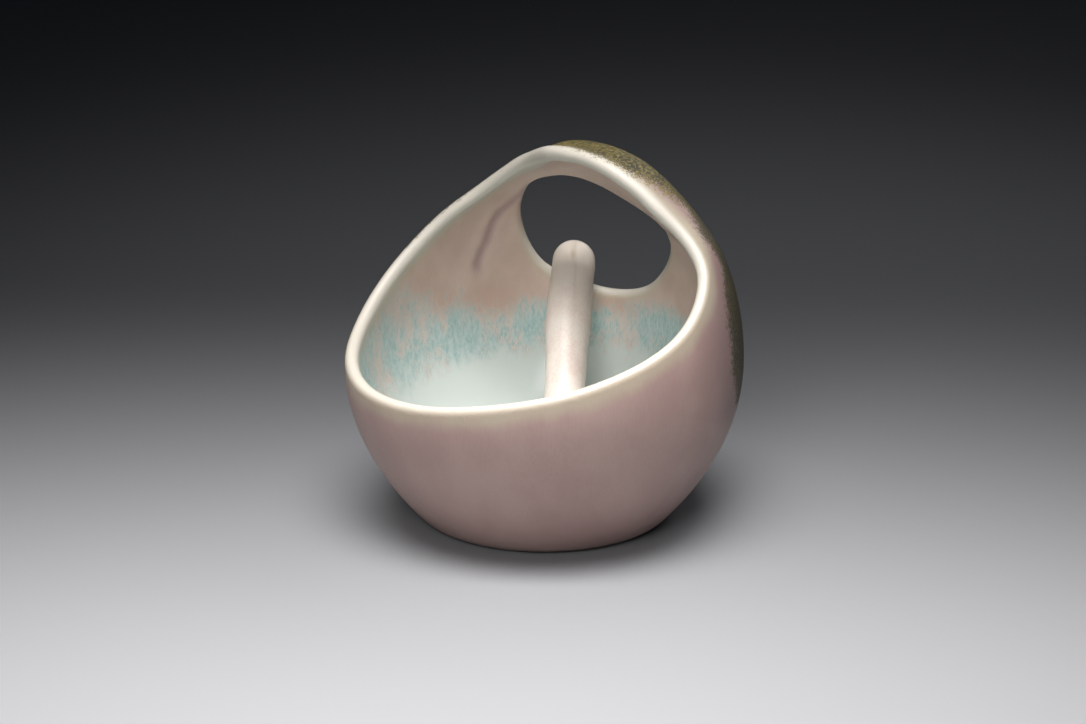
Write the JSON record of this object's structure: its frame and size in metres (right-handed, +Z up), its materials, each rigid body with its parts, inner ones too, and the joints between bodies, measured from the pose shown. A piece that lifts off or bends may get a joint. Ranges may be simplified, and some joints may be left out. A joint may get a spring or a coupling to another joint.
{
  "type": "yarn bowl",
  "caption": "Handled porcelain bowl, cut from one egg-shaped shell, with a loose porcelain rod leaning on its rear window.",
  "frame": {"origin": "middle of the flat foot, on the surface that the bowl stands on", "axes": "+Z up, -Y towards the low front of the mouth, +X to the right of someone facing the mouth"},
  "size_m": [0.13, 0.13, 0.1227],
  "materials": {
    "bowl_glaze": "satin",
    "rod_glaze": "satin"
  },
  "bodies": {
    "bowl": {"bowl": "bowl_glaze"},
    "rod": {"rod": "rod_glaze"}
  },
  "joints": [
    {"name": "rod_lift", "type": "slide", "parent": "bowl", "child": "rod", "axis": [0.025, 0.6945, 0.7191], "range_m": [0, 0.13]}
  ]
}
